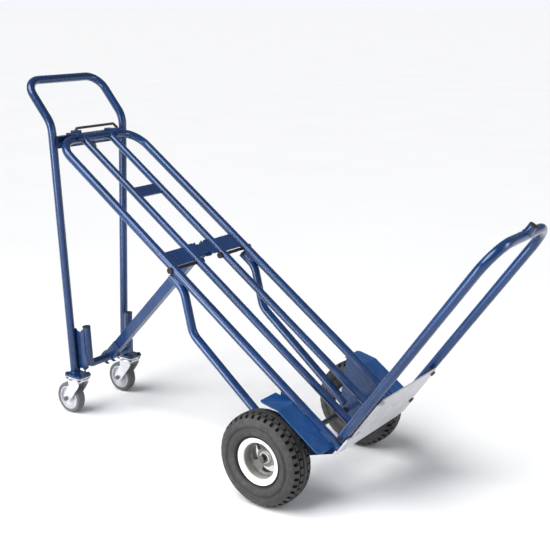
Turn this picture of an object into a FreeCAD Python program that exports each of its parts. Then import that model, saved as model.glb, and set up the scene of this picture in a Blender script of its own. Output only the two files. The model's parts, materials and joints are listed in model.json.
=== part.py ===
import FreeCAD, Part
import math, os

# Three-position hand truck, standing inclined on its two large wheels and two swivel casters.
# Millimetres, +Z up, +X towards the toe plate, +Y to the left of a person at the handle.
# Origin: middle of the footprint, on the floor.

V = FreeCAD.Vector

# ---------------------------------------------------------------- driving dimensions
AX = 187.95                # X of the main axle
WHEEL_R = 130.0            # main wheel radius (260 x 85 pneumatic)
TRACK_Y = 236.3            # middle of each main wheel
TH = math.radians(34.9)    # incline of the load frame
PX, PZ = AX - 824.8, 882.8 # axis of the load frame's top bar, the leg pivot
FRAME_L = 1231.0           # top bar axis to the toe plate's upper face
YR = 161.0                 # outer rails, half spacing
YI = 56.25                 # inner rails, half spacing
RO = 12.5                  # 25 mm tube
RI = 11.0                  # 22 mm tube
WALL = 2.0
LEG_X = AX - 858.5         # legs of the rear frame
LEG_Y0, LEG_Z0 = 111.5, 137.0     # leg foot
LEG_Y1, LEG_Z1 = 145.5, 875.6     # leg at the cross bar
UP_X = AX - 812.5          # lower U tube of the rear frame
UP_Z = 168.0               # its cross part
UP_TOP = 292.0
BEND_Z, TOP_X, TOP_Z = 929.8, AX - 966.0, 1052.8  # handle bend and grip bar
SWIVEL_X, SWIVEL_Y = AX - 840.0, 115.5
TRAIL, CASTER_R = 36.0, 50.0
HOOP_S, HOOP_Y, HOOP_N, HOOP_PN = 1217.0, 159.0, 702.0, 30.0
PLATE_T, PLATE_W, PLATE_N = 4.0, 300.0, 186.0
STRUT_W, STRUT_T = 30.0, 25.0
MS, MN = 503.0, -36.0      # strut pivot in frame coordinates

CT, ST = math.cos(TH), math.sin(TH)
UD = V(CT, 0, -ST)         # down the load frame
ND = V(ST, 0, CT)          # away from the load side
YD = V(0, 1, 0)


def W(s, y, n):
    return V(PX + CT * s + ST * n, y, PZ - ST * s + CT * n)


def to_frame(x, z):
    dx, dz = x - PX, z - PZ
    return dx * CT - dz * ST, dx * ST + dz * CT


# ---------------------------------------------------------------- helpers
def cyl(p, d, r, h):
    return Part.makeCylinder(r, h, p, d)


def ycyl(x, z, y0, y1, r):
    return Part.makeCylinder(r, y1 - y0, V(x, y0, z), YD)


def ring(p, d, ro, ri, h):
    return cyl(p, d, ro, h).cut(cyl(p, d, ri, h))


def poly(pts, vec):
    w = Part.makePolygon(list(pts) + [pts[0]])
    return Part.Face(w).extrude(vec)


def fpoly(sn, y0, y1):
    """Plate parallel to the XZ plane from frame (s, n) points, between y0 and y1."""
    return poly([W(s, y0, n) for s, n in sn], V(0, y1 - y0, 0))


def xzpoly(xz, y0, y1):
    return poly([V(x, y0, z) for x, z in xz], V(0, y1 - y0, 0))


def fbox(s0, s1, y0, y1, n0, n1):
    return fpoly([(s0, n0), (s1, n0), (s1, n1), (s0, n1)], y0, y1)


def fuse(*sh):
    r = sh[0]
    if len(sh) > 1:
        r = sh[0].multiFuse(list(sh[1:]))
    return r.removeSplitter()


def path(pts, rad):
    """Straight runs with tangent arcs: list of ('l', a, b) and ('a', a, centre, axis, degrees)."""
    out, cur = [], pts[0]
    for i in range(1, len(pts) - 1):
        p = pts[i]
        d0 = (p - pts[i - 1]).normalize()
        d1 = (pts[i + 1] - p).normalize()
        ang = math.acos(max(-1.0, min(1.0, d0.dot(d1))))
        r = rad[i - 1] if isinstance(rad, (list, tuple)) else rad
        t = r * math.tan(ang / 2)
        a = p - d0 * t
        ax = d0.cross(d1).normalize()
        nrm = ax.cross(d0).normalize()
        c = a + nrm * r
        if (a - cur).Length > 1e-6:
            out.append(("l", cur, a))
        out.append(("a", a, c, ax, math.degrees(ang), d0))
        cur = p + d1 * t
    out.append(("l", cur, pts[-1]))
    return out


def sweep(pts, rad, ro, ri=None):
    segs = []
    for sgm in path(pts, rad):
        a = sgm[1]
        d = (sgm[2] - a).normalize() if sgm[0] == "l" else sgm[5]
        f = Part.Face(Part.Wire(Part.Circle(a, d, ro).toShape()))
        if ri:
            f = f.cut(Part.Face(Part.Wire(Part.Circle(a, d, ri).toShape())))
            f = f.Faces[0]
        if sgm[0] == "l":
            segs.append(f.extrude(sgm[2] - a))
        else:
            segs.append(f.revolve(sgm[2], sgm[3], sgm[4]))
    return fuse(*segs) if len(segs) > 1 else segs[0]


def tube(pts, rad=60.0, ro=RO, wall=WALL):
    return sweep(pts, rad, ro, ro - wall)


def rod(pts, rad, ro):
    return sweep(pts, rad, ro)


def mir(sh):
    return sh.mirror(V(0, 0, 0), YD)


def revolve_y(rt, x, y, z, out=1):
    """Closed (radius, offset) outline turned about the wheel axis; offset grows outwards."""
    pts = [V(x + r, y + out * t, z) for r, t in rt]
    w = Part.makePolygon(pts + [pts[0]])
    return Part.Face(w).revolve(V(x, y, z), YD, 360)


def hex_prism(p, d, af, h):
    """Hexagon across flats af from p along d."""
    d = V(d).normalize()
    u = V(0, 0, 1) if abs(d.z) < 0.9 else V(1, 0, 0)
    a = d.cross(u).normalize()
    b = d.cross(a).normalize()
    r = af / math.sqrt(3)
    pts = [p + a * (r * math.cos(math.radians(60 * k))) + b * (r * math.sin(math.radians(60 * k))) for k in range(6)]
    return poly(pts, d * h)


NODES = {}


def add(name, sh):
    NODES[name] = sh


def both(name, left):
    """left is the +Y copy."""
    add(name + "_left", left)
    add(name + "_right", mir(left))


def pair(name, left):
    """Two identical small pieces, one each side, as separate solids of one node."""
    add(name, Part.makeCompound([left, mir(left)]))


# ================================================================ load frame
outer_pts = [W(FRAME_L, -YR, 0), W(0, -YR, 0), W(0, YR, 0), W(FRAME_L, YR, 0)]
outer_solid = sweep(outer_pts, 70.0, RO)
outer = tube(outer_pts, 70.0)
SB, NB = 553.0, -2.5       # rail tie bolts
TB_R = 5.0

top_cyl = cyl(W(0, -90, 0), YD, RO, 180)


def inner_rail(y):
    t = tube([W(0, y, 0), W(FRAME_L, y, 0)], ro=RI, wall=WALL)
    return t.cut(top_cyl)


inner_l_solid = cyl(W(0, YI, 0), UD, RI, FRAME_L)
inner_r_solid = cyl(W(0, -YI, 0), UD, RI, FRAME_L)
bolt_hole = cyl(W(SB, -200, NB), YD, TB_R, 400)
add("outer_rail_tube", outer.cut(bolt_hole))
il = inner_rail(YI).cut(bolt_hole)
add("inner_rail_left", il)
add("inner_rail_right", mir(il))

add("upper_strap", fbox(235, 275, -YI, YI, -2.5, 2.5).cut(inner_l_solid).cut(inner_r_solid))
pair("side_straps", fbox(492, 545, YI, YR, -2.5, 2.5).cut(inner_l_solid).cut(outer_solid))

# bracket between the inner rails, with two cheeks that carry the strut pivot
web = fbox(487, 541, -YI, YI, -2.5, 2.5).cut(inner_l_solid).cut(inner_r_solid)
for sc in (487 - 30, 541 + 30):
    web = web.cut(cyl(W(sc, 0, -10), ND, 40.0, 20))
ck = fpoly([(487, 2.5), (541, 2.5), (541, -8), (MS + 15, MN), (MS + 10, MN - 12), (MS, MN - 15.5),
            (MS - 10, MN - 12), (MS - 15, MN), (487, -8)], 13.6, 17.6)
bracket = fuse(web, ck, mir(ck)).cut(cyl(W(MS, -60, MN), YD, 5.0, 120))
add("strut_bracket", bracket)
add("strut_pivot_bolt", fuse(cyl(W(MS, -18.0, MN), YD, 5.0, 44.0),
                             hex_prism(W(MS, -24.4, MN), YD, 17, 6.4)))
pivot_nut = hex_prism(W(MS, 17.6, MN), YD, 17, 8.0).cut(cyl(W(MS, 0, MN), YD, 5.0, 60))

# tie bolts through each outer and inner rail, below the side straps
tb = fuse(cyl(W(SB, 38, NB), YD, TB_R, YR + RO - 38 + 0.0), hex_prism(W(SB, YR + RO - 0.3, NB), YD, 17, 6.8).cut(outer_solid))
add("rail_tie_bolts", Part.makeCompound([tb, mir(tb)]))
tn = hex_prism(W(SB, YI - RI - 7.5, NB), YD, 17, 8.0).cut(cyl(W(SB, 0, NB), YD, TB_R, 200)).cut(inner_l_solid)

# axle bracket plates under the outer rails
sa, na = to_frame(AX, WHEEL_R)
axle_hole = ycyl(AX, WHEEL_R, -400, 400, 8.0)
boss = ycyl(AX, WHEEL_R, YR - 3, YR + 3, 22.0)
bp = fpoly([(1010, -8), (1224, -8), (1224, -30), (sa + 22, na - 12), (sa - 20, na - 15)], YR - 3, YR + 3)
plate_b = fuse(bp, boss).cut(axle_hole).cut(outer_solid)
both("axle_bracket", plate_b)

# wheel braces: bent tube from under each outer rail down to the axle bracket
brace_pts = [W(556, YR, -25.0), W(612, YR, -25.0), W(708, YR, -109.0), W(1092, YR, -134.0)]
both("wheel_brace", tube(brace_pts, [55.0, 60.0]).cut(fpoly([(1010, -8), (1224, -8), (1224, -30), (sa + 22, na - 12), (sa - 20, na - 15)], YR - 3, YR + 3)).cut(boss))

# axle, spacers, washers, split pins
HUB_O, HUB_I = 5.0, 58.0   # hub ends, outwards and inwards of the tyre's middle
AXLE_END = TRACK_Y + HUB_O + 12.0
ax = ycyl(AX, WHEEL_R, -AXLE_END, AXLE_END, 8.0)
pin_y = TRACK_Y + HUB_O + 3.0 + 3.6
ax = ax.cut(cyl(V(AX, pin_y, WHEEL_R - 20), V(0, 0, 1), 1.6, 40)).cut(cyl(V(AX, -pin_y, WHEEL_R - 20), V(0, 0, 1), 1.6, 40))
ax = ax.makeChamfer(1.2, [e for e in ax.Edges if len(e.Vertexes) == 1 and abs(abs(e.CenterOfMass.y) - AXLE_END) < 0.01])
add("axle", ax)
sp = ycyl(AX, WHEEL_R, YR + 3, TRACK_Y - HUB_I - 0.5, 12.0).cut(axle_hole)
add("axle_spacers", Part.makeCompound([sp, mir(sp)]))
wa = ycyl(AX, WHEEL_R, TRACK_Y + HUB_O + 0.5, TRACK_Y + HUB_O + 2.5, 12.5).cut(axle_hole)
add("axle_washers", Part.makeCompound([wa, mir(wa)]))
pn = fuse(cyl(V(AX, pin_y, WHEEL_R - 12.5), V(0, 0, 1), 1.5, 24.5),
          ring(V(AX - 1.2, pin_y, WHEEL_R + 13.5), V(1, 0, 0), 3.2, 1.6, 2.4))
add("split_pins", Part.makeCompound([pn, mir(pn)]))

# mudguards
GI, GO, GT = YR + RO + 0.0, 242.0, 3.0
g1 = fpoly([(1062, 0), (1216, 0), (1216, -GT), (1061.4, -GT)], GI - 3, GO)
tb2 = math.radians(23)
gs, gn = 1062 - 62 * math.cos(tb2), -62 * math.sin(tb2)
g2 = fpoly([(1062, 0), (1061.4, -GT), (gs - 0.6, gn - GT), (gs, gn)], GI - 3, GO)
guard = fuse(g1, g2).cut(outer_solid)
cut_c = fpoly([(gs - 8, gn - 10), (gs - 8, gn + 10), (gs + 9, gn + 12), (gs + 9, gn - 10)], GO - 14, GO + 4)
tri = poly([W(gs - 6, GO - 12, gn - 12), W(gs + 12, GO + 4, gn - 12), W(gs - 6, GO + 4, gn - 12)], ND * 40)
tri2 = poly([W(1222, GO - 14, -12), W(1200, GO + 4, -12), W(1222, GO + 4, -12)], ND * 24)
guard = guard.cut(tri).cut(tri2)
both("mudguard", guard)

# toe plate with a bent-back rear lip
tp = fbox(FRAME_L, FRAME_L + PLATE_T, -PLATE_W / 2, PLATE_W / 2, -14, PLATE_N)
lip = fbox(FRAME_L - 26, FRAME_L + PLATE_T, -PLATE_W / 2 + 6, PLATE_W / 2 - 6, -18, -14)
foot = fbox(FRAME_L, FRAME_L + PLATE_T, PLATE_W / 2 - 1, YR + RO, -14, 44)
tpl = fuse(tp, lip, foot, mir(foot))
for yy, nn in ((-PLATE_W / 2, PLATE_N), (PLATE_W / 2, PLATE_N)):
    sg = 1 if yy > 0 else -1
    tpl = tpl.cut(poly([W(FRAME_L - 1, yy - sg * 16, nn + 1), W(FRAME_L - 1, yy + sg, nn + 1), W(FRAME_L - 1, yy + sg, nn - 16)], UD * 8))
BOLTS = [(57.0, 138.0), (172.0, 132.0)]
for n_, y_ in BOLTS:
    for sg in (1, -1):
        tpl = tpl.cut(cyl(W(FRAME_L - 2, sg * y_, n_), UD, 4.0, 10))
add("toe_plate", tpl)

# stiffener bars under the hoop line on the plate's upper side, bolted through the plate
bar = fbox(FRAME_L - 5, FRAME_L, 124, 145.5, 46, 182)
for n_, y_ in BOLTS:
    bar = bar.cut(cyl(W(FRAME_L - 12, y_, n_), UD, 4.0, 20))
pair("toe_stiffeners", bar)
tbs = []
for n_, y_ in BOLTS:
    b = fuse(cyl(W(FRAME_L - 9, y_, n_), UD, 4.0, 9 + PLATE_T), hex_prism(W(FRAME_L + PLATE_T, y_, n_), UD, 13, 5.0))
    tbs += [b, mir(b)]
add("toe_plate_bolts", Part.makeCompound(tbs))
tns = []
for n_, y_ in BOLTS:
    b = hex_prism(W(FRAME_L - 11.5, y_, n_), UD, 13, 6.5).cut(cyl(W(FRAME_L - 20, y_, n_), UD, 4.0, 30))
    tns += [b, mir(b)]
add("toe_plate_nuts", Part.makeCompound(tns))

# hinge ears of the nose hoop, on the toe plate each side
def ear(y0, y1):
    e = fpoly([(FRAME_L, 13), (FRAME_L, 40), (HOOP_S + 7, 46), (HOOP_S - 6, 46), (HOOP_S - 17, 36), (HOOP_S - 19, 13)], y0, y1)
    return e.cut(cyl(W(HOOP_S, 0, HOOP_PN), YD, 5.0, 300))


earL = ear(HOOP_Y - RO - 4.5, HOOP_Y - RO - 0.5)
pair("hoop_hinge_ears", earL)
pb = fuse(cyl(W(HOOP_S, HOOP_Y - RO - 14.0, HOOP_PN), YD, 5.0, 2 * RO + 15.0), cyl(W(HOOP_S, HOOP_Y + RO + 0.4, HOOP_PN), YD, 7.5, 2.6))
add("hoop_pivot_bolts", Part.makeCompound([pb, mir(pb)]))
pnn = hex_prism(W(HOOP_S, HOOP_Y - RO - 12.5, HOOP_PN), YD, 17, 8.0).cut(cyl(W(HOOP_S, 0, HOOP_PN), YD, 5.0, 300))
add("m10_nuts", Part.makeCompound([pivot_nut, tn, mir(tn), pnn, mir(pnn)]))

# ================================================================ nose hoop
hp = [W(HOOP_S, -HOOP_Y, HOOP_PN - 10), W(HOOP_S, -HOOP_Y, HOOP_N), W(HOOP_S, HOOP_Y, HOOP_N), W(HOOP_S, HOOP_Y, HOOP_PN - 10)]
hoop_solid = sweep(hp, 80.0, RO)
hoop = tube(hp, 80.0).cut(cyl(W(HOOP_S, -300, HOOP_PN), YD, 5.05, 600))
# round the ends about the pivot, so that they clear the toe plate as the hoop folds
for sg in (1, -1):
    y0 = sg * HOOP_Y - 20
    hoop = hoop.cut(fbox(HOOP_S - 20, HOOP_S + 20, y0, y0 + 40, HOOP_PN - 25, HOOP_PN).cut(cyl(W(HOOP_S, y0 - 1, HOOP_PN), YD, 13.2, 42)))
add("nose_hoop_tube", hoop)
stub = ring(W(HOOP_S, 0, HOOP_N), ND, 11.0, 9.0, 30.0).cut(cyl(W(HOOP_S, -60, HOOP_N), YD, RO, 130))
add("hoop_stub", stub)
add("hoop_stub_cap", fuse(cyl(W(HOOP_S, 0, HOOP_N + 22), ND, 9.0, 8.0), cyl(W(HOOP_S, 0, HOOP_N + 30), ND, 11.0, 2.5)))

# ================================================================ rear leg frame
def leg_y(z):
    return LEG_Y0 + (z - LEG_Z0) * (LEG_Y1 - LEG_Y0) / (LEG_Z1 - LEG_Z0)


hl = [V(LEG_X, -LEG_Y0, LEG_Z0), V(LEG_X, -leg_y(BEND_Z), BEND_Z), V(TOP_X, -leg_y(BEND_Z), TOP_Z),
      V(TOP_X, leg_y(BEND_Z), TOP_Z), V(LEG_X, leg_y(BEND_Z), BEND_Z), V(LEG_X, LEG_Y0, LEG_Z0)]
leg_solid = sweep(hl, [70.0, 52.0, 52.0, 70.0], RO)
add("handle_leg_tube", tube(hl, [70.0, 52.0, 52.0, 70.0]).cut(Part.makeBox(60, 400, 20, V(LEG_X - 30, -200, LEG_Z0 - 20))))

BX0, BX1, BZ0, BZ1 = LEG_X - 10.0, LEG_X + 10.0, 858.0, 893.0
xb = Part.makeBox(20, 300, 35, V(BX0, -150, BZ0)).cut(Part.makeBox(16, 300, 31, V(BX0 + 2, -150, BZ0 + 2)))
xb = xb.cut(leg_solid)
BAIL_Y0, BAIL_Y1, BAIL_R = -52.0, 121.0, 4.0
guide = Part.makeBox(20, 26, 11, V(BX0, BAIL_Y0 - 13, BZ1))
guide = guide.cut(cyl(V(LEG_X, BAIL_Y0, BZ1 - 6), V(0, 0, 1), BAIL_R + 0.05, 20))
for by in (BAIL_Y0, BAIL_Y1):
    xb = xb.cut(cyl(V(LEG_X, by, BZ1 - 6), V(0, 0, 1), BAIL_R + 0.05, 20))
# keep the piece between the legs
xb = [s for s in xb.Solids if abs(s.CenterOfMass.y) < 20][0]
add("upper_cross_bar", xb)
add("bail_guide", guide)

# pivot hooks round the load frame's top bar
def hook(y0, y1):
    h = fuse(ycyl(PX, PZ, y0, y1, 18.5),
             xzpoly([(BX1, PZ - 12), (BX1, BZ1 + 6), (PX - 4, PZ + 18.4), (PX, PZ)], y0, y1))
    h = fuse(h, xzpoly([(BX1 - 14, BZ1), (BX1 - 14, BZ1 + 6), (BX1, BZ1 + 6), (BX1, BZ1)], y0, y1))
    h = h.cut(ycyl(PX, PZ, y0 - 1, y1 + 1, RO + 0.3))
    h = h.cut(xzpoly([(PX - 12.8, PZ - 40), (PX - 12.8, PZ - 2), (PX, PZ - 2), (PX + 30, PZ - 2), (PX + 30, PZ - 40)], y0 - 1, y1 + 1))
    h = h.cut(Part.makeBox(20, 300, 35, V(BX0, -150, BZ0)))
    return sorted(h.Solids, key=lambda s: -s.Volume)[0]


pair("pivot_hooks", hook(69.5, 89.5))

# catch under the cross bar
ca = xzpoly([(BX1 - 14, BZ0), (BX1 - 14, BZ0 - 3), (BX1 + 2, BZ0 - 3), (BX1 + 6, BZ0 - 14), (BX1 + 12, BZ0 - 15), (BX1 + 14, BZ0 - 8),
             (BX1 + 9, BZ0 + 2), (BX1 + 2.6, BZ0 + 4), (BX1, BZ0 + 4), (BX1, BZ0)], -8, 8)
add("frame_catch", ca)

# lower U tube
uy = lambda z: leg_y(z) - 25.0
up = [V(UP_X, -uy(UP_TOP), UP_TOP), V(UP_X, -uy(UP_Z), UP_Z), V(UP_X, uy(UP_Z), UP_Z), V(UP_X, uy(UP_TOP), UP_TOP)]
up_solid = sweep(up, 15.0, RO)
add("lower_cross_tube", tube(up, 15.0))
ul = (up[3] - up[2]).normalize()
cap = fuse(cyl(up[3] - ul * 10, ul, RO - WALL, 10), cyl(up[3], ul, RO, 3.0))
add("upright_end_caps", Part.makeCompound([cap, mir(cap)]))

# side plates that join each leg and upright, with a hollowed top edge and a half-round cut-out at the foot
tilt = math.degrees(math.atan((LEG_Y1 - LEG_Y0) / (LEG_Z1 - LEG_Z0)))
GX = (LEG_X + UP_X) / 2
sp0 = xzpoly([(LEG_X, LEG_Z0), (UP_X - 10, LEG_Z0), (UP_X - 10, 145), (UP_X + 6, 158), (UP_X + 6, 196), (UP_X, 204), (UP_X, 284), (LEG_X, 284)], -2, 2)
sp0 = sp0.cut(ycyl(GX, 291, -5, 5, 15.5)).cut(ycyl(GX, 139, -5, 5, 13.0))
sp0.rotate(V(0, 0, LEG_Z0), V(1, 0, 0), -tilt)
sp0.translate(V(0, LEG_Y0 - RO, 0))
sp0 = sp0.cut(leg_solid).cut(up_solid).cut(Part.makeBox(400, 400, 30, V(LEG_X - 200, -50, LEG_Z0 - 30)))
sp0 = sorted(sp0.Solids, key=lambda s: -s.Volume)[0]
pair("side_plates", sp0)

# caster mounting plates (fixed to leg and side plate)
MPX0, MPY0 = SWIVEL_X - 35, SWIVEL_Y - 26
mp = Part.makeBox(70, 52, 7, V(MPX0, MPY0, 130))
mp = mp.makeFillet(6, [e for e in mp.Edges if abs(e.Length - 7) < 0.01])
CB = [(-28.5, -20), (26, -19), (26, 19), (-28.5, 19)]
for bx, by in CB:
    mp = mp.cut(cyl(V(SWIVEL_X + bx, SWIVEL_Y + by, 120), V(0, 0, 1), 3.0, 30))
pair("caster_mount_plates", mp)

# release bail
bl = [V(LEG_X, BAIL_Y0, 872), V(LEG_X, BAIL_Y0, 910), V(LEG_X, BAIL_Y1 - 16, 910), V(LEG_X, BAIL_Y1, 897), V(LEG_X, BAIL_Y1, 872)]
add("release_bail", rod(bl, [5.0, 9.0, 6.0], BAIL_R))

# ================================================================ folding strut
bs, bn = to_frame(UP_X, UP_Z)
ds, dn = bs - MS, bn - MN
dl = math.hypot(ds, dn)
es, en = ds / dl, dn / dl            # along the strut, towards its foot
fs, fn = -en, es                     # across the strut; +f is towards the toe end
if fs < 0:
    fs, fn = -fs, -fn


def SW(a, y, b):
    """a: distance from the pivot along the strut; b: across it, towards the toe end."""
    return W(MS + es * a + fs * b, y, MN + en * a + fn * b)


def spoly(ab, y0, y1):
    return poly([SW(a, y0, b) for a, b in ab], V(0, y1 - y0, 0))


HT, HW = STRUT_T / 2, STRUT_W / 2
bar = spoly([(-13, -HW), (-13, HW), (dl - 24, HW), (dl - 24, -HW)], -HT, HT)
bar = bar.cut(spoly([(-14, -HW + 2), (-14, HW - 2), (dl - 20, HW - 2), (dl - 20, -HW + 2)], -HT + 2, HT - 2))
bar = bar.cut(cyl(W(MS, -60, MN), YD, 5.05, 120))
# the cross tube's track past the strut's foot while both fold (strut turns RATIO times the leg angle, the other way)
LEG_FOLD, STRUT_FOLD = 50.0, 76.0


def rot(p, c, deg):
    a = math.radians(deg)
    x, z = p[0] - c[0], p[1] - c[1]
    return c[0] + x * math.cos(a) - z * math.sin(a), c[1] + x * math.sin(a) + z * math.cos(a)


track = []
for k in range(0, 25):
    al = LEG_FOLD * 0.012 * k
    # leg frame turns towards the rails (counter-clockwise in frame coordinates), strut the other way
    q = rot((bs, bn), (0.0, 0.0), al)
    q = rot(q, (MS, MN), al * STRUT_FOLD / LEG_FOLD)
    a = (q[0] - MS) * es + (q[1] - MN) * en
    b = (q[0] - MS) * fs + (q[1] - MN) * fn
    track.append((a, b))
ys0, ys1 = HT, HT + 4.0
hk = spoly([(dl - 74, -HW), (dl - 74, HW), (dl - 40, HW), (dl - 18, HW + 8), (dl + 2, HW + 9), (dl + 15, HW + 2), (dl + 20, HW - 9), (dl + 20, -HW + 4), (dl + 12, -HW - 5), (dl - 10, -HW - 5), (dl - 26, -HW)], ys0, ys1)
for a, b in track:
    p = SW(a, ys0 - 1, b)
    hk = hk.cut(cyl(p, YD, RO + 0.5, ys1 - ys0 + 2))
    bar = bar.cut(cyl(SW(a, -HT - 1, b), YD, RO + 0.5, 2 * HT + 2))
hk = sorted(hk.Solids, key=lambda s: -s.Volume)[0]
bar = sorted(bar.Solids, key=lambda s: -s.Volume)[0]
add("strut_bar", bar)
pair("strut_hook_plates", hk)

# ================================================================ main wheels
def wheel(side):
    x, z = AX, WHEEL_R
    outp = [(52.3, 26), (58, 30.5), (66, 33.5), (74, 38.5), (86, 42), (100, 42.2), (112, 39.5), (120, 35), (126, 27), (129.2, 14), (130, 0)]
    inp = [(52.3, 16), (60, 20), (68, 26), (78, 32), (90, 34), (102, 33.5), (111, 30), (117, 25), (120, 15), (121, 0)]
    prof = outp + [(r, -t) for r, t in outp[-2::-1]] + [(r, -t) for r, t in inp] + [(r, t) for r, t in inp[-2::-1]]
    yc = side * TRACK_Y
    tyre = revolve_y(prof, x, yc, z, side)
    rimp = [(64.6, 33.8), (64.6, 30.8), (57.6, 29.6), (52, 25), (52, -25), (57.6, -29.6), (64.6, -30.8), (64.6, -33.8), (55.8, -32.4), (49.2, -26.6), (49.2, 26.6), (55.8, 32.4)]
    # tyre bead must not cut into the rim
    rim = revolve_y(rimp, x, yc, z, side)
    disc = revolve_y([(14, -4), (14, -7), (24, -6), (40, -3), (49.6, -5), (49.6, -2), (41.5, 0), (24, -3)], x, yc, z, side)
    hub = revolve_y([(15, HUB_O), (15, -HUB_I), (12, -HUB_I), (12, HUB_O)], x, yc, z, side)
    body = fuse(rim, disc, hub)
    for k in range(3):
        a0 = 50 + 120 * k
        for da in (-24, -12, 0, 12, 24):
            a = math.radians(a0 + da)
            body = body.cut(ycyl(x + 34.5 * math.cos(a), z + 34.5 * math.sin(a), yc - 14, yc + 24, 8.5))
    # valve hole in the barrel
    va = math.radians(112)
    vd = V(math.cos(va), 0, math.sin(va))
    vp = V(x, yc + side * 12.0, z) + vd * 40
    body = body.cut(cyl(vp, vd, 4.0, 20))
    body = sorted(body.Solids, key=lambda s: -s.Volume)[0]
    tyre = tyre.cut(rim)
    tyre = sorted(tyre.Solids, key=lambda s: -s.Volume)[0]
    valve = fuse(cyl(vp + vd * 2, vd, 4.0, 10.5), cyl(vp + vd * 12.1, vd, 6.0, 2.5), cyl(vp - vd * 6, vd, 3.0, 9.0), cyl(vp - vd * 13, vd, 3.9, 7.2))
    valve = valve.cut(body).cut(tyre)
    brg = []
    for t0 in (-HUB_I, HUB_O - 12.0):
        y0 = yc + (side * t0 if side > 0 else -t0 - 12.0)
        brg.append(ycyl(x, z, y0, y0 + 12.0, 12.0).cut(ycyl(x, z, y0 - 1, y0 + 13, 8.05)))
    return tyre, body, valve, Part.makeCompound(brg)


for side, nm in ((1, "left"), (-1, "right")):
    t_, b_, v_, r_ = wheel(side)
    add("tyre_" + nm, t_)
    add("rim_" + nm, b_)
    add("valve_" + nm, v_)
    add("wheel_bearings_" + nm, r_)

# ================================================================ casters
def caster():
    x, y = SWIVEL_X, SWIVEL_Y
    wx = x - TRAIL
    Z = V(0, 0, 1)
    pl = Part.makeBox(69, 51, 3, V(x - 34.5, y - 25.5, 127))
    pl = pl.makeFillet(6, [e for e in pl.Edges if abs(e.Length - 3) < 0.01])
    cup = Part.Face(Part.makePolygon([V(x + r, y, z) for r, z in ((6.2, 121.2), (18, 121.2), (21.5, 123), (24, 127), (6.2, 127), (6.2, 121.2))])).revolve(V(x, y, 0), Z, 360)
    pl = fuse(pl, cup)
    for bx, by in CB:
        pl = pl.cut(cyl(V(x + bx, y + by, 120), Z, 3.0, 30))
    pl = pl.cut(cyl(V(x, y, 118), Z, 6.0, 20))
    pin = fuse(cyl(V(x, y, 108.4), Z, 6.0, 21.6), cyl(V(x, y, 108.4), Z, 10.5, 3.0))
    crown = Part.Face(Part.makePolygon([V(x + r, y, z) for r, z in ((6.05, 112), (22, 112), (24, 114), (24, 117), (20, 120.8), (6.05, 120.8), (6.05, 112))])).revolve(V(x, y, 0), Z, 360)
    legs = []
    for sg in (1, -1):
        y0 = 19.0 if sg > 0 else -22.0
        lp = poly([V(x + 22, y + y0, 116), V(x + 25, y + y0, 108), V(x + 16, y + y0, 92), V(x - TRAIL + 12, y + y0, 43), V(x - TRAIL, y + y0, 38.5), V(x - TRAIL - 12, y + y0, 44),
                   V(x - TRAIL - 13, y + y0, 56), V(x - 22, y + y0, 100), V(x - 25, y + y0, 116)], V(0, 3, 0))
        legs.append(lp)
    top = Part.makeBox(47, 44, 4, V(x - 24.5, y - 22, 112))
    fork = fuse(crown, legs[0], legs[1], top)
    fork = fork.cut(cyl(V(x, y, 100), Z, 6.05, 30)).cut(ycyl(wx, 50, y - 60, y + 60, 4.0))
    tyre = revolve_y([(39, 14.5), (46, 15), (49, 12), (50, 7), (50, -7), (49, -12), (46, -15), (39, -14.5)], wx, y, 50)
    core = revolve_y([(39, 12.5), (34, 13.5), (33, 5), (16, 4), (12, 17.5), (4.05, 17.5), (4.05, -17.5), (12, -17.5), (16, -4), (33, -5), (34, -13.5), (39, -12.5)], wx, y, 50)
    core = core.cut(tyre)
    axb = fuse(ycyl(wx, 50, y - 22, y + 28, 4.0), hex_prism(V(wx, y - 27.3, 50), YD, 13, 5.3))
    nut = hex_prism(V(wx, y + 22, 50), YD, 13, 6.0).cut(ycyl(wx, 50, y, y + 40, 4.0))
    # bush sleeves keep the wheel centred between the fork legs
    slv = [ycyl(wx, 50, y + 17.8, y + 19.0, 7.0).cut(ycyl(wx, 50, y, y + 30, 4.0)),
           ycyl(wx, 50, y - 19.0, y - 17.8, 7.0).cut(ycyl(wx, 50, y - 30, y, 4.0))]
    return pl, pin, fork, tyre, core, Part.makeCompound([axb, nut] + slv)


c = caster()
for nm, sh in zip(("caster_top_plates", "caster_kingpins"), c[:2]):
    pair(nm, sh)
for nm, sh in zip(("caster_fork", "caster_tyre", "caster_wheel_core", "caster_axle"), c[2:]):
    both(nm, sh)
cbolts, cnuts = [], []
for bx, by in CB:
    x, y = SWIVEL_X + bx, SWIVEL_Y + by
    b = fuse(cyl(V(x, y, 119.5), V(0, 0, 1), 3.0, 17.5), hex_prism(V(x, y, 137), V(0, 0, 1), 10, 4.0))
    n = hex_prism(V(x, y, 122.0), V(0, 0, 1), 10, 5.0).cut(cyl(V(x, y, 100), V(0, 0, 1), 3.0, 40))
    cbolts += [b, mir(b)]
    cnuts += [n, mir(n)]
add("caster_bolts", Part.makeCompound(cbolts))
add("caster_nuts", Part.makeCompound(cnuts))

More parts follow.
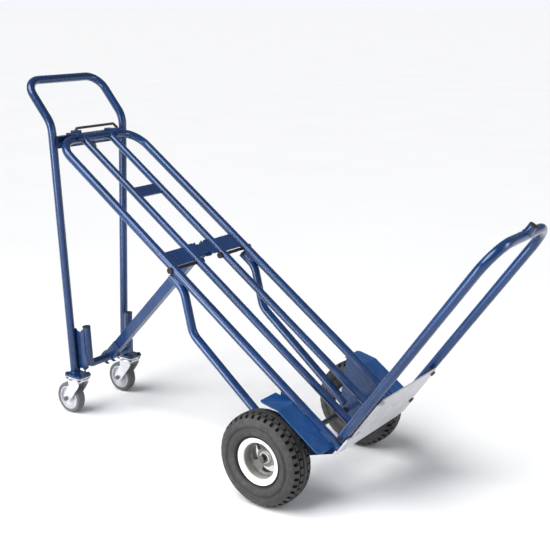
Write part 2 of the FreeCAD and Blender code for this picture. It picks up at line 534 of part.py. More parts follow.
# ================================================================ write
os.makedirs("parts", exist_ok=True)
for f in os.listdir("parts"):
    if f.endswith(".step") and f[:-5] not in NODES:
        os.remove(os.path.join("parts", f))
bb = FreeCAD.BoundBox()
for name, sh in NODES.items():
    bb.add(sh.BoundBox)
    bad = "" if sh.isValid() else " INVALID"
    print("%-26s solids %d vol %.1f cm3%s" % (name, len(sh.Solids), sh.Volume / 1000, bad))
    sh.exportStep("parts/%s.step" % name)
print("nodes", len(NODES), "box", [round(v, 2) for v in (bb.XMin, bb.YMin, bb.ZMin, bb.XMax, bb.YMax, bb.ZMax)], "x centre", round((bb.XMin + bb.XMax) / 2, 3))
print("pivot P", PX, PZ, "M", [round(v, 3) for v in W(MS, 0, MN)], "hoop", [round(v, 3) for v in W(HOOP_S, 0, HOOP_PN)],
      "strut", round(dl, 2), "foot", bs, bn, "angle", math.degrees(math.atan2(en, es)), "axle frame", sa, na)
print("track", [(round(a - dl, 1), round(b, 1)) for a, b in track[:12]])
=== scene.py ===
import bpy, bmesh, math, json
from mathutils import Vector, Matrix


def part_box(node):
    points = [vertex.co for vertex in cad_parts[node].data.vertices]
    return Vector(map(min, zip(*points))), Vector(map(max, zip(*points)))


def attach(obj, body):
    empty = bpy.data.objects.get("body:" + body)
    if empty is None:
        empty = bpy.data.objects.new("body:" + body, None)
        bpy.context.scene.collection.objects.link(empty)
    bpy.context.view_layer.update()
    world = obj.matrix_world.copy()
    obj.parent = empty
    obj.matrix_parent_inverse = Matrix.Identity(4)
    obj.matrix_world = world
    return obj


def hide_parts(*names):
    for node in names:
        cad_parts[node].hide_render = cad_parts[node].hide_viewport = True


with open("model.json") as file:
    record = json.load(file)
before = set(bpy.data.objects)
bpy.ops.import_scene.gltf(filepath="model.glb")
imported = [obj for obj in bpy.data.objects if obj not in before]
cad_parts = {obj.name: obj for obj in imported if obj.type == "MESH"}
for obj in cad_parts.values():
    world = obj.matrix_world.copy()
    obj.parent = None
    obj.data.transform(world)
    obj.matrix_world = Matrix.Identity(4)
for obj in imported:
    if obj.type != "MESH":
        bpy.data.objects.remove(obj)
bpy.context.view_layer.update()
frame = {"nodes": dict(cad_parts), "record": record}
NODES = frame["nodes"]
SLOT_OF = {}
for part in frame["record"].get("subparts", []):
    SLOT_OF[part["node"]] = part.get("material_slot") or "blue_paint"

# ------------------------------------------------------------------ the truck's own frame, in metres
_lo, _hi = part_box("axle")
AX, WR, TRACK = (_lo.x + _hi.x) / 2, 0.130, 0.2363
TH = math.radians(34.9)
PX, PZ = AX - 0.8248, 0.8828
FL = 1.231
YR, YI, RO, RI = 0.161, 0.05625, 0.0125, 0.011
LEG_X, UP_X = AX - 0.8585, AX - 0.8125
LY0, LZ0, LY1, LZ1 = 0.1115, 0.137, 0.1455, 0.8756
BEND_Z, TOP_X, TOP_Z = 0.9298, AX - 0.966, 1.0528
HOOP_S, HOOP_Y, HOOP_N = 1.217, 0.159, 0.702
MS, MN = 0.503, -0.036
CT, ST = math.cos(TH), math.sin(TH)
XD, YD, ZD = Vector((1, 0, 0)), Vector((0, 1, 0)), Vector((0, 0, 1))
UD, ND = Vector((CT, 0, -ST)), Vector((ST, 0, CT))


def W(s, y, n):
    return Vector((PX, 0, PZ)) + UD * s + YD * y + ND * n


def leg_y(z):
    return LY0 + (z - LZ0) * (LY1 - LY0) / (LZ1 - LZ0)


# ------------------------------------------------------------------ materials
class Mat:
    def __init__(s, name):
        s.m = bpy.data.materials.new(name)
        s.m.use_nodes = True
        s.t = s.m.node_tree
        s.t.nodes.clear()
        s.out = s.n("ShaderNodeOutputMaterial")
        s.b = s.n("ShaderNodeBsdfPrincipled")
        s.t.links.new(s.b.outputs["BSDF"], s.out.inputs["Surface"])
        s.co = s.n("ShaderNodeTexCoord").outputs["Object"]

    def n(s, kind, **kw):
        x = s.t.nodes.new(kind)
        for k, v in kw.items():
            setattr(x, k, v)
        return x

    def put(s, v, sock):
        if isinstance(v, bpy.types.NodeSocket):
            s.t.links.new(v, sock)
        elif v is not None:
            sock.default_value = v

    def set(s, name, v):
        if isinstance(v, (tuple, list)) and len(v) == 3 and "Color" in name or "Tint" in name:
            v = (*v, 1)
        s.put(v, s.b.inputs[name])

    def scaled(s, x, y, z):
        m = s.n("ShaderNodeMapping")
        s.put(s.co, m.inputs["Vector"])
        m.inputs["Scale"].default_value = (x, y, z)
        return m.outputs["Vector"]

    def noise(s, scale, detail=3.0, rough=0.55, vec=None, dist=0.0):
        x = s.n("ShaderNodeTexNoise")
        s.put(vec or s.co, x.inputs["Vector"])
        x.inputs["Scale"].default_value = scale
        x.inputs["Detail"].default_value = detail
        x.inputs["Roughness"].default_value = rough
        x.inputs["Distortion"].default_value = dist
        return x.outputs["Fac"]

    def voronoi(s, scale, feature="F1", out="Distance", vec=None):
        x = s.n("ShaderNodeTexVoronoi", feature=feature)
        s.put(vec or s.co, x.inputs["Vector"])
        x.inputs["Scale"].default_value = scale
        return x.outputs[out]

    def mr(s, v, a, b, c, d):
        x = s.n("ShaderNodeMapRange", clamp=True)
        for sock, val in zip(("Value", "From Min", "From Max", "To Min", "To Max"), (v, a, b, c, d)):
            s.put(val, x.inputs[sock])
        return x.outputs["Result"]

    def math(s, op, a, b=None, clamp=False):
        x = s.n("ShaderNodeMath", operation=op, use_clamp=clamp)
        s.put(a, x.inputs[0])
        if b is not None:
            s.put(b, x.inputs[1])
        return x.outputs[0]

    def mix(s, fac, a, b):
        x = s.n("ShaderNodeMix", data_type="RGBA")
        s.put(fac, x.inputs[0])
        s.put((*a, 1) if isinstance(a, tuple) else a, x.inputs[6])
        s.put((*b, 1) if isinstance(b, tuple) else b, x.inputs[7])
        return x.outputs[2]

    def edges(s, radius=0.0012, lo=0.985, hi=0.86):
        """0 on open surfaces, 1 along worn edges; also keeps the rounded normal for the bump."""
        bev = s.n("ShaderNodeBevel", samples=4)
        bev.inputs["Radius"].default_value = radius
        geo = s.n("ShaderNodeNewGeometry")
        d = s.n("ShaderNodeVectorMath", operation="DOT_PRODUCT")
        s.t.links.new(bev.outputs["Normal"], d.inputs[0])
        s.t.links.new(geo.outputs["Normal"], d.inputs[1])
        s.rounded = bev.outputs["Normal"]
        return s.mr(d.outputs["Value"], lo, hi, 0.0, 1.0)

    def bump(s, h, strength, distance=0.001, after=None):
        x = s.n("ShaderNodeBump")
        x.inputs["Strength"].default_value = strength
        x.inputs["Distance"].default_value = distance
        s.put(h, x.inputs["Height"])
        if after is not None:
            s.put(after, x.inputs["Normal"])
        elif hasattr(s, "rounded"):
            s.put(s.rounded, x.inputs["Normal"])
        s.t.links.new(x.outputs["Normal"], s.b.inputs["Normal"])
        return x.outputs["Normal"]


def enamel(name, deep, bright, worn, rough=0.2, wear=0.55, coat=0.5):
    """Glossy sprayed enamel: slight tone drift, orange peel, rubbed edges and fine scuffs."""
    a = Mat(name)
    e = a.edges(0.0011)
    tone = a.mr(a.noise(5.5, 3.0), 0.3, 0.7, 0.0, 1.0)
    col = a.mix(tone, deep, bright)
    speck = a.mr(a.noise(420.0, 2.0), 0.62, 0.72, 0.0, 0.10)
    col = a.mix(speck, col, tuple(min(1, c * 1.6 + 0.02) for c in bright))
    rub = a.math("MULTIPLY", e, a.mr(a.noise(55.0, 4.0, 0.65), 0.48, 0.66, 0.0, wear))
    col = a.mix(rub, col, worn)
    # fine dust lying low on the truck
    z = a.n("ShaderNodeSeparateXYZ")
    a.put(a.co, z.inputs[0])
    dust = a.math("MULTIPLY", a.mr(z.outputs["Z"], 0.0, 0.45, 0.10, 0.0), a.mr(a.noise(38.0, 4.0), 0.42, 0.7, 0.0, 1.0))
    col = a.mix(dust, col, (0.36, 0.34, 0.31))
    a.set("Base Color", col)
    scuff = a.noise(26.0, 5.0, 0.6, a.scaled(1.0, 9.0, 1.0))
    r = a.math("ADD", a.mr(scuff, 0.35, 0.75, rough - 0.04, rough + 0.10), a.math("MULTIPLY", rub, 0.35), clamp=True)
    a.set("Roughness", r)
    a.set("Specular IOR Level", 0.62)
    a.set("Specular Tint", (0.62, 0.76, 1.0))
    a.set("Coat Weight", coat)
    a.set("Coat Roughness", 0.10)
    peel = a.math("ADD", a.noise(260.0, 2.0), a.math("MULTIPLY", a.noise(80.0, 2.0), 1.2))
    a.bump(peel, 0.022, 0.0006)
    return a.m


def metal(name, base, dark, rough, spangle=0.0, wear_col=None, metallic=0.9, brushed=None, rust=0.0):
    a = Mat(name)
    e = a.edges(0.0009)
    tone = a.mr(a.noise(24.0, 4.0, 0.6), 0.3, 0.72, 0.0, 1.0)
    col = a.mix(tone, dark, base)
    h = a.noise(240.0, 3.0)
    if spangle:
        cell = a.voronoi(58.0, out="Color")
        sep = a.n("ShaderNodeSeparateColor")
        a.put(cell, sep.inputs[0])
        flake = a.mr(sep.outputs[0], 0.0, 1.0, 0.0, spangle)
        col = a.mix(flake, col, tuple(c * 0.72 for c in base))
    if wear_col:
        col = a.mix(a.math("MULTIPLY", e, 0.5), col, wear_col)
    if rust:
        spot = a.mr(a.noise(70.0, 5.0, 0.7), 0.64, 0.74, 0.0, rust)
        col = a.mix(spot, col, (0.20, 0.085, 0.035))
    a.set("Base Color", col)
    a.set("Metallic", metallic)
    vec = a.scaled(*brushed) if brushed else None
    grain = a.noise(60.0, 4.0, 0.6, vec)
    rr = a.mr(grain, 0.3, 0.7, rough - 0.07, rough + 0.10)
    if spangle:
        rr = a.math("ADD", rr, a.mr(sep.outputs[1], 0.0, 1.0, -0.07, 0.07))
    a.set("Roughness", rr)
    a.bump(a.math("ADD", h, grain), 0.08, 0.0005)
    return a.m


def rubber(name, dark, light, rough=0.72, fine=0.25, bead=False):
    a = Mat(name)
    e = a.edges(0.0012, 0.99, 0.80)
    tone = a.mr(a.noise(14.0, 4.0, 0.6), 0.3, 0.7, 0.0, 1.0)
    col = a.mix(tone, dark, light)
    dust = a.mr(a.noise(75.0, 5.0, 0.65), 0.45, 0.75, 0.0, 0.22)
    col = a.mix(dust, col, (0.19, 0.175, 0.155))
    col = a.mix(a.math("MULTIPLY", e, 0.35), col, tuple(min(1, c * 2.0 + 0.01) for c in light))
    if bead:
        # painted shade: the rubber is darkened where it dips to the rim lip
        cen = a.n("ShaderNodeVectorMath", operation="SUBTRACT")
        a.put(a.co, cen.inputs[0])
        cen.inputs[1].default_value = (AX, 0.0, WR)
        xyz = a.n("ShaderNodeSeparateXYZ")
        a.put(cen.outputs["Vector"], xyz.inputs[0])
        rad = a.math("SQRT", a.math("ADD", a.math("MULTIPLY", xyz.outputs["X"], xyz.outputs["X"]), a.math("MULTIPLY", xyz.outputs["Z"], xyz.outputs["Z"])))
        col = a.mix(a.mr(rad, 0.0685, 0.0755, 0.9, 0.0), col, (0.006, 0.006, 0.006))
        # painted shade: a fainter dark ring in the sidewall valley
        ring = a.math("MULTIPLY", a.mr(rad, 0.084, 0.090, 0.0, 1.0), a.mr(rad, 0.099, 0.104, 1.0, 0.0))
        col = a.mix(a.math("MULTIPLY", ring, 0.35), col, (0.014, 0.014, 0.014))
    a.set("Base Color", col)
    a.set("Roughness", a.mr(a.noise(40.0, 3.0), 0.3, 0.7, rough - 0.1, rough + 0.12))
    a.set("Specular IOR Level", 0.35)
    a.bump(a.noise(620.0, 3.0), fine, 0.0004)
    return a.m


def plastic(name, dark, light, rough=0.45):
    a = Mat(name)
    a.edges(0.0008)
    col = a.mix(a.mr(a.noise(30.0, 3.0), 0.3, 0.7, 0.0, 1.0), dark, light)
    a.set("Base Color", col)
    a.set("Roughness", a.mr(a.noise(120.0, 3.0), 0.3, 0.7, rough - 0.08, rough + 0.1))
    a.bump(a.voronoi(900.0), 0.12, 0.0003)
    return a.m


MATS = {
    "blue_paint": enamel("blue_enamel", (0.0014, 0.0190, 0.080), (0.0032, 0.036, 0.140), (0.08, 0.14, 0.25), rough=0.24, coat=0.4),
    "guard_blue": enamel("guard_enamel", (0.0014, 0.042, 0.165), (0.0030, 0.066, 0.240), (0.13, 0.24, 0.42), rough=0.3, coat=0.25),
    "bail_paint": enamel("bail_paint", (0.040, 0.030, 0.038), (0.070, 0.055, 0.062), (0.30, 0.29, 0.30), rough=0.32, coat=0.2),
    "plate_galvanised": metal("galvanised_sheet", (0.76, 0.76, 0.79), (0.60, 0.60, 0.63), 0.46, spangle=0.55, wear_col=(0.86, 0.86, 0.88), metallic=0.55),
    "fastener_black": metal("black_oxide", (0.030, 0.030, 0.034), (0.014, 0.014, 0.017), 0.42, wear_col=(0.20, 0.20, 0.21), metallic=0.5),
    "axle_steel": metal("turned_steel", (0.20, 0.20, 0.21), (0.10, 0.10, 0.11), 0.36, metallic=1.0, brushed=(1.0, 30.0, 1.0), rust=0.25),
    "catch_yellow_zinc": metal("yellow_zinc", (0.52, 0.46, 0.20), (0.36, 0.31, 0.13), 0.36, wear_col=(0.6, 0.58, 0.4)),
    "cap_plastic": plastic("black_plastic", (0.008, 0.008, 0.010), (0.016, 0.016, 0.020)),
    "caster_zinc": metal("bright_zinc", (0.86, 0.87, 0.89), (0.70, 0.71, 0.74), 0.30, wear_col=(0.95, 0.95, 0.96), metallic=0.75),
    # bead=True paints shade into the tyre rubber at the rim lip and in the sidewall valley
    "tyre_black": rubber("tyre_rubber", (0.026, 0.025, 0.026), (0.050, 0.048, 0.050), 0.58, bead=True),
    # painted shade: a darker copy of the tyre rubber for the pit and groove floors
    "tread_deep": rubber("tread_pit_shade", (0.007, 0.007, 0.007), (0.013, 0.013, 0.013), 0.85),
    "valve_rubber": rubber("valve_rubber", (0.012, 0.012, 0.013), (0.022, 0.022, 0.024), 0.6, 0.12),
    "caster_rubber": rubber("caster_rubber", (0.085, 0.092, 0.098), (0.130, 0.138, 0.145), 0.55, 0.12),
    "caster_core": plastic("caster_core_nylon", (0.46, 0.46, 0.50), (0.58, 0.58, 0.62), 0.38),
}


def rim_white():
    a = Mat("rim_powder_coat")
    e = a.edges(0.0012)
    col = a.mix(a.mr(a.noise(18.0, 4.0), 0.3, 0.7, 0.0, 1.0), (0.80, 0.79, 0.74), (0.88, 0.875, 0.83))
    grime = a.mr(a.noise(85.0, 5.0, 0.7), 0.55, 0.78, 0.0, 0.28)
    col = a.mix(grime, col, (0.46, 0.43, 0.37))
    # painted shade: the sunken disc between hub and barrel is darkened, broken up a little by noise
    cen = a.n("ShaderNodeVectorMath", operation="SUBTRACT")
    a.put(a.co, cen.inputs[0])
    cen.inputs[1].default_value = (AX, 0.0, WR)
    xyz = a.n("ShaderNodeSeparateXYZ")
    a.put(cen.outputs["Vector"], xyz.inputs[0])
    rad = a.math("SQRT", a.math("ADD", a.math("MULTIPLY", xyz.outputs["X"], xyz.outputs["X"]), a.math("MULTIPLY", xyz.outputs["Z"], xyz.outputs["Z"])))
    rim_painted_shade = a.math("MULTIPLY", a.mr(rad, 0.0152, 0.0175, 0.0, 1.0), a.mr(rad, 0.0488, 0.0508, 1.0, 0.0))
    rim_painted_shade = a.math("MULTIPLY", rim_painted_shade, a.mr(a.noise(34.0, 4.0, 0.6), 0.30, 0.72, 0.80, 1.0))
    # painted shade also on the inner rim surfaces on the side that faces the frame, so the openings look dark
    far = a.math("SUBTRACT", a.math("ABSOLUTE", xyz.outputs["Y"]), TRACK)
    back = a.math("MULTIPLY", a.mr(far, -0.0045, -0.0025, 1.0, 0.0), a.mr(rad, 0.0505, 0.0530, 0.9, 0.0))
    rim_painted_shade = a.math("MAXIMUM", rim_painted_shade, back)
    # the painted shade is a dark grey-brown mixed over the powder coat
    col = a.mix(rim_painted_shade, col, a.mix(a.mr(a.noise(21.0, 3.0), 0.4, 0.6, 0.0, 1.0), (0.060, 0.062, 0.052), (0.125, 0.12, 0.10)))
    col = a.mix(a.math("MULTIPLY", e, a.mr(a.noise(120.0, 3.0), 0.5, 0.65, 0.0, 0.5)), col, (0.40, 0.39, 0.37))
    a.set("Base Color", col)
    a.set("Roughness", a.mr(a.noise(60.0, 3.0), 0.3, 0.7, 0.28, 0.44))
    a.set("Coat Weight", 0.15)
    a.set("Coat Roughness", 0.2)
    a.bump(a.noise(380.0, 2.0), 0.10, 0.0005)
    return a.m


MATS["rim_white"] = rim_white()


def mixed_bolts():
    """The plate's screws: zinc ones along the near edge, blackened ones along the far edge."""
    a = Mat("toe_screws")
    e = a.edges(0.0009)
    xyz = a.n("ShaderNodeSeparateXYZ")
    a.put(a.co, xyz.inputs[0])
    far = a.mr(xyz.outputs["Y"], -0.02, 0.02, 0.0, 1.0)
    tone = a.mr(a.noise(90.0, 4.0), 0.3, 0.7, 0.0, 1.0)
    zinc = a.mix(tone, (0.56, 0.56, 0.58), (0.72, 0.72, 0.74))
    dark = a.mix(tone, (0.050, 0.042, 0.036), (0.090, 0.075, 0.062))
    col = a.mix(far, zinc, dark)
    a.set("Base Color", a.mix(a.math("MULTIPLY", e, 0.3), col, (0.62, 0.61, 0.60)))
    a.set("Metallic", 0.6)
    a.set("Roughness", a.mr(a.noise(140.0, 3.0), 0.3, 0.7, 0.34, 0.52))
    a.bump(a.noise(420.0, 3.0), 0.1, 0.0004)
    return a.m


MATS["toe_screws"] = mixed_bolts()


def dress(o, slot):
    o.data.materials.clear()
    o.data.materials.append(MATS[slot])


for name, o in NODES.items():
    dress(o, "toe_screws" if name == "toe_plate_bolts" else SLOT_OF.get(name, "blue_paint"))


# ------------------------------------------------------------------ mesh helpers
def new_object(name, verts, faces, body, slot, sharp=35.0):
    me = bpy.data.meshes.new(name)
    me.from_pydata([tuple(v) for v in verts], [], faces)
    me.validate()
    bm = bmesh.new()
    bm.from_mesh(me)
    bmesh.ops.recalc_face_normals(bm, faces=bm.faces)
    bm.to_mesh(me)
    bm.free()
    for p in me.polygons:
        p.use_smooth = True
    me.set_sharp_from_angle(angle=math.radians(sharp))
    o = bpy.data.objects.new(name, me)
    bpy.context.scene.collection.objects.link(o)
    o.data.materials.append(MATS[slot])
    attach(o, body)
    return o


def loops_to_mesh(loops, closed_across=True, caps=False):
    """Rings of equal length, joined in order."""
    n = len(loops[0])
    verts = [v for lp in loops for v in lp]
    faces = []
    m = len(loops)
    for i in range(m if closed_across else m - 1):
        a, b = i * n, ((i + 1) % m) * n
        for j in range(n):
            k = (j + 1) % n
            faces.append((a + j, a + k, b + k, b + j))
    if caps:
        faces.append(tuple(range(n - 1, -1, -1)))
        faces.append(tuple((m - 1) * n + j for j in range(n)))
    return verts, faces


def catmull(pts, per=14):
    out = []
    for i in range(len(pts) - 1):
        p0 = pts[max(0, i - 1)]
        p1, p2 = pts[i], pts[i + 1]
        p3 = pts[min(len(pts) - 1, i + 2)]
        for k in range(per):
            t = k / per
            out.append(tuple(0.5 * ((2 * p1[c]) + (-p0[c] + p2[c]) * t + (2 * p0[c] - 5 * p1[c] + 4 * p2[c] - p3[c]) * t * t
                                    + (-p0[c] + 3 * p1[c] - 3 * p2[c] + p3[c]) * t ** 3) for c in (0, 1)))
    out.append(tuple(pts[-1]))
    return out


# ------------------------------------------------------------------ pneumatic tyres with a block tread
PITCHES = 38


def tyre_rows():
    """Half outline from the bead to the crown: (radius, offset, inset, zone), in mm."""
    side = catmull([(52.4, 24.6), (56.6, 28.4), (61.5, 29.4), (66.0, 29.8), (69.0, 31.4), (71.2, 35.6), (75.5, 39.0), (86, 42.0), (98, 42.4), (108, 41.0), (115, 38.4), (120, 35), (126, 27), (129.2, 14), (130, 0)], 18)
    side = [(r, min(t, 41.8)) for r, t in side]

    def at_t(t):
        for (r0, t0), (r1, t1) in zip(side, side[1:]):
            if t1 <= t <= t0 and r0 > 95:
                f = 0 if t0 == t1 else (t0 - t) / (t0 - t1)
                return r0 + (r1 - r0) * f
        return 130.0

    rows = []
    # bead and sidewall, with a rim ring, a shallow valley and a shoulder ring
    for r, t in side:
        if r > 112.2:
            break
        d = 0.0
        if 91.5 < r < 98.5:
            d = 2.4 * math.sin(math.pi * (r - 91.5) / 7.0) ** 2
        if 104.0 < r < 107.0:
            d = -0.5 * math.sin(math.pi * (r - 104.0) / 3.0)
        if rows and abs(rows[-1][0] - r) + abs(rows[-1][1] - t) < 0.8:
            continue
        rows.append((r, t, d, ""))
    # tread: ring, square pits, groove, staggered blocks, groove, centre rib
    plan = [(37.2, ""), (35.6, ""), (35.0, "A"), (31.5, "A"), (28.0, "A"), (25.2, "A"), (24.6, ""), (22.9, ""), (22.3, "g"), (20.6, "g"), (20.0, ""),
            (19.4, "B"), (15.0, "B"), (10.6, "B"), (10.0, ""), (8.9, ""), (8.3, "g"), (6.6, "g"), (6.0, ""), (3.0, ""), (0.0, "")]
    for t, z in plan:
        rows.append((at_t(t), t, 0.0, z))
    return rows


def inset_for(zone, u):
    if zone == "g":
        return 4.2
    if zone == "A":
        return 6.4 if 0.04 < u < 0.48 else 0.0
    if zone == "B":
        return 4.4 if 0.54 < u < 0.82 else 0.0
    return 0.0


def tyre(side, body):
    half = tyre_rows()
    full = half + [(r, -t, d, z) for r, t, d, z in half[-2::-1]]
    inner = catmull([(52.3, -16), (60, -20), (68, -26), (78, -32), (90, -34), (102, -33.5), (111, -29), (116.5, -23), (119.5, -14), (120.3, 0), (119.5, 14), (116.5, 23), (111, 29), (102, 33.5), (90, 34), (78, 32), (68, 26), (60, 20), (52.3, 16)], 3)
    us = [0.0, 0.03, 0.05, 0.16, 0.30, 0.40, 0.47, 0.49, 0.53, 0.55, 0.68, 0.81, 0.83, 0.92]
    angles = [(2 * math.pi * (p + u) / PITCHES, u) for p in range(PITCHES) for u in us]
    yc = TRACK * side
    loops, low = [], []
    pts = [(r, t) for r, t, _, _ in full]
    for k, (r, t, d, z) in enumerate(full):
        r0, t0 = pts[max(0, k - 1)]
        r1, t1 = pts[min(len(pts) - 1, k + 1)]
        dr, dt = r1 - r0, t1 - t0
        ln = math.hypot(dr, dt) or 1.0
        nr, nt = -dt / ln, dr / ln            # outward for this direction of travel
        lp = []
        low.append([inset_for(z, u) > 3.0 for a, u in angles])
        for a, u in angles:
            off = d + inset_for(z, u)
            rr, tt = r - nr * off, t - nt * off
            lp.append(Vector((AX + rr * 0.001 * math.cos(a), yc + side * tt * 0.001, WR + rr * 0.001 * math.sin(a))))
        loops.append(lp)
    for r, t in inner:
        loops.append([Vector((AX + r * 0.001 * math.cos(a), yc + side * t * 0.001, WR + r * 0.001 * math.sin(a))) for a, u in angles])
    v, f = loops_to_mesh(loops)
    nm = "left" if side > 0 else "right"
    o = new_object("tread_tyre_" + nm, v, f, body, "tyre_black", 32)
    # second slot: painted shade on the floors of the deep pits and grooves
    o.data.materials.append(MATS["tread_deep"])
    n = len(angles)
    deep = set()
    for k in range(len(full) - 1):
        for j in range(n):
            if sum((low[k][j], low[k][(j + 1) % n], low[k + 1][j], low[k + 1][(j + 1) % n])) >= 2:
                deep.add(frozenset((k * n + j, k * n + (j + 1) % n, (k + 1) * n + j, (k + 1) * n + (j + 1) % n)))
    for p in o.data.polygons:
        if frozenset(p.vertices) in deep:
            p.material_index = 1
    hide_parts("tyre_" + nm)
    return o


# ------------------------------------------------------------------ pressed steel rims with kidney openings
def lathe(prof, side, yc, seg=128, cx=AX, cz=WR):
    loops = []
    for r, t in prof:
        loops.append([Vector((cx + r * 0.001 * math.cos(2 * math.pi * k / seg), yc + side * t * 0.001, cz + r * 0.001 * math.sin(2 * math.pi * k / seg))) for k in range(seg)])
    return loops_to_mesh(loops)


def rim(side, body):
    yc = TRACK * side
    def lip(sgn):
        c = (63.6, sgn * 32.2)
        out = []
        for k in range(0, 9):
            a = math.radians(-100 + k * 30)
            out.append((c[0] + 1.55 * math.cos(a) * 1.0, c[1] - sgn * 1.55 * math.sin(a) * -1.0))
        return out
    face = [(12.0, 4.4), (12.5, 5.0), (14.5, 5.0), (15.0, 4.4), (15.0, -0.6), (15.6, -2.2), (17.6, -3.0), (24.0, -3.0), (30.5, -2.2), (38.5, -0.8), (43.0, -0.2), (46.2, 0.6), (47.8, 2.2), (48.6, 5.0),
            (49.0, 9.0), (49.2, 24.6), (49.9, 26.6), (51.6, 28.6), (54.0, 30.6), (57.0, 31.5), (62.0, 32.6)]
    lip_o = [(63.4, 33.6), (64.4, 33.75), (65.2, 33.1), (65.4, 32.0), (64.9, 31.0), (63.9, 30.7)]
    under = [(58.0, 29.7), (54.6, 27.6), (52.4, 25.2), (52.0, 23.0)]
    back = [(52.0, -23.0), (52.4, -25.2), (54.6, -27.6), (58.0, -29.7)]
    lip_i = [(r, -t) for r, t in reversed(lip_o)]
    inside = [(62.0, -32.6), (57.0, -31.5), (54.0, -30.6), (51.6, -28.6), (49.9, -26.6), (49.2, -24.6), (49.2, -7.0), (48.2, -5.0), (45.6, -4.0), (40.0, -3.8),
              (24.0, -6.0), (17.8, -6.2), (15.7, -7.0), (15.0, -8.6), (15.0, -57.4), (14.5, -58.0), (12.5, -58.0), (12.0, -57.4)]
    prof = face + lip_o + under + back + lip_i + inside
    v, f = lathe(prof, side, yc)
    nm = "left" if side > 0 else "right"
    o = new_object("pressed_rim_" + nm, v, f, body, "rim_white", 30)
    # openings
    cv, cf = [], []
    for k in range(3):
        a0 = math.radians(50 + 120 * k)
        span, rc, hw = math.radians(25), 34.5, 7.6
        outline = []
        for i in range(21):
            a = a0 - span + 2 * span * i / 20
            outline.append(((rc + hw) * math.cos(a), (rc + hw) * math.sin(a)))
        for i in range(1, 10):
            b = math.pi * i / 10
            a = a0 + span
            outline.append((rc * math.cos(a) + hw * math.cos(a + b), rc * math.sin(a) + hw * math.sin(a + b)))
        for i in range(21):
            a = a0 + span - 2 * span * i / 20
            outline.append(((rc - hw) * math.cos(a), (rc - hw) * math.sin(a)))
        for i in range(1, 10):
            b = math.pi + math.pi * i / 10
            a = a0 - span
            outline.append((rc * math.cos(a) + hw * math.cos(a + b), rc * math.sin(a) + hw * math.sin(a + b)))
        base = len(cv)
        n = len(outline)
        for y in (-13.0, 24.0):
            cv += [Vector((AX + x * 0.001, yc + side * y * 0.001, WR + z * 0.001)) for x, z in outline]
        cf.append(tuple(base + i for i in range(n)))
        cf.append(tuple(base + n + i for i in range(n - 1, -1, -1)))
        cf += [(base + i, base + n + i, base + n + (i + 1) % n, base + (i + 1) % n) for i in range(n)]
    cut = new_object("cutter", cv, cf, body, "rim_white")
    md = o.modifiers.new("openings", "BOOLEAN")
    md.object, md.operation, md.solver = cut, "DIFFERENCE", "EXACT"
    bpy.context.view_layer.update()
    dg = bpy.context.evaluated_depsgraph_get()
    done = bpy.data.meshes.new_from_object(o.evaluated_get(dg))
    o.modifiers.clear()
    o.data = done
    for p in done.polygons:
        p.use_smooth = True
    done.set_sharp_from_angle(angle=math.radians(30))
    if not done.materials:
        done.materials.append(MATS["rim_white"])
    bpy.data.objects.remove(cut)
    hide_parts("rim_" + nm)
    return o


for side, nm in ((1, "left"), (-1, "right")):
    tyre(side, "wheel_" + nm)
    rim(side, "wheel_" + nm)


# ------------------------------------------------------------------ weld beads
BEADS = {}


def bead(body, pts, r=2.3, closed=False, step=0.0008):
    """A rippled bead along a line of points (metres)."""
    p = list(pts) + ([pts[0]] if closed else [])
    run, total = [0.0], 0.0
    for a, b in zip(p, p[1:]):
        total += (b - a).length
        run.append(total)
    n = max(6, int(total / step))
    line = []
    j = 0
    for i in range(n if closed else n + 1):
        d = total * i / n
        while j < len(run) - 2 and run[j + 1] < d:
            j += 1
        f = (d - run[j]) / max(1e-9, run[j + 1] - run[j])
        line.append(p[j].lerp(p[j + 1], min(1, max(0, f))))
    loops = []
    m = len(line)
    for i, c in enumerate(line):
        a = line[(i - 1) % m] if closed or i > 0 else line[i]
        b = line[(i + 1) % m] if closed or i < m - 1 else line[i]
        d = (b - a).normalized()
        u = d.cross(Vector((0.31, 0.52, 0.79))).normalized()
        w = d.cross(u).normalized()
        s = total * i / n
        rr = r * 0.001 * (1 + 0.13 * math.sin(2 * math.pi * s / 0.0027) + 0.10 * math.sin(2 * math.pi * s / 0.0193 + 1.3) + 0.06 * math.sin(2 * math.pi * s / 0.0071 + 0.4))
        if not closed:
            e = min(i, m - 1 - i) / max(1.0, 0.0025 / step)
            rr *= min(1.0, 0.35 + 0.65 * e)
        loops.append([c + (u * math.cos(2 * math.pi * k / 8) + w * math.sin(2 * math.pi * k / 8)) * rr for k in range(8)])
    v, f = loops_to_mesh(loops, closed_across=closed, caps=not closed)
    vs, fs = BEADS.setdefault(body, ([], []))
    o = len(vs)
    vs += v
    fs += [tuple(o + q for q in face) for face in f]


def saddle(a_r, b_r, centre, b_dir, a_dir, body, r=2.2):
    """Where tube b (radius b_r, running off along b_dir) meets tube a (axis a_dir, radius a_r)."""
    n = b_dir.cross(a_dir).normalized()
    pts = []
    for k in range(48):
        t = 2 * math.pi * k / 48
        y, z = b_r * math.cos(t), b_r * math.sin(t)
        pts.append(centre + a_dir * y + n * z + b_dir * math.sqrt(max(0, a_r ** 2 - z ** 2)))
    bead(body, pts, r, closed=True)


def ring_bead(centre, axis, rad, body, r=2.0):
    u = axis.cross(Vector((0.31, 0.52, 0.79))).normalized()
    w = axis.cross(u).normalized()
    bead(body, [centre + (u * math.cos(2 * math.pi * k / 48) + w * math.sin(2 * math.pi * k / 48)) * rad for k in range(48)], r, closed=True)


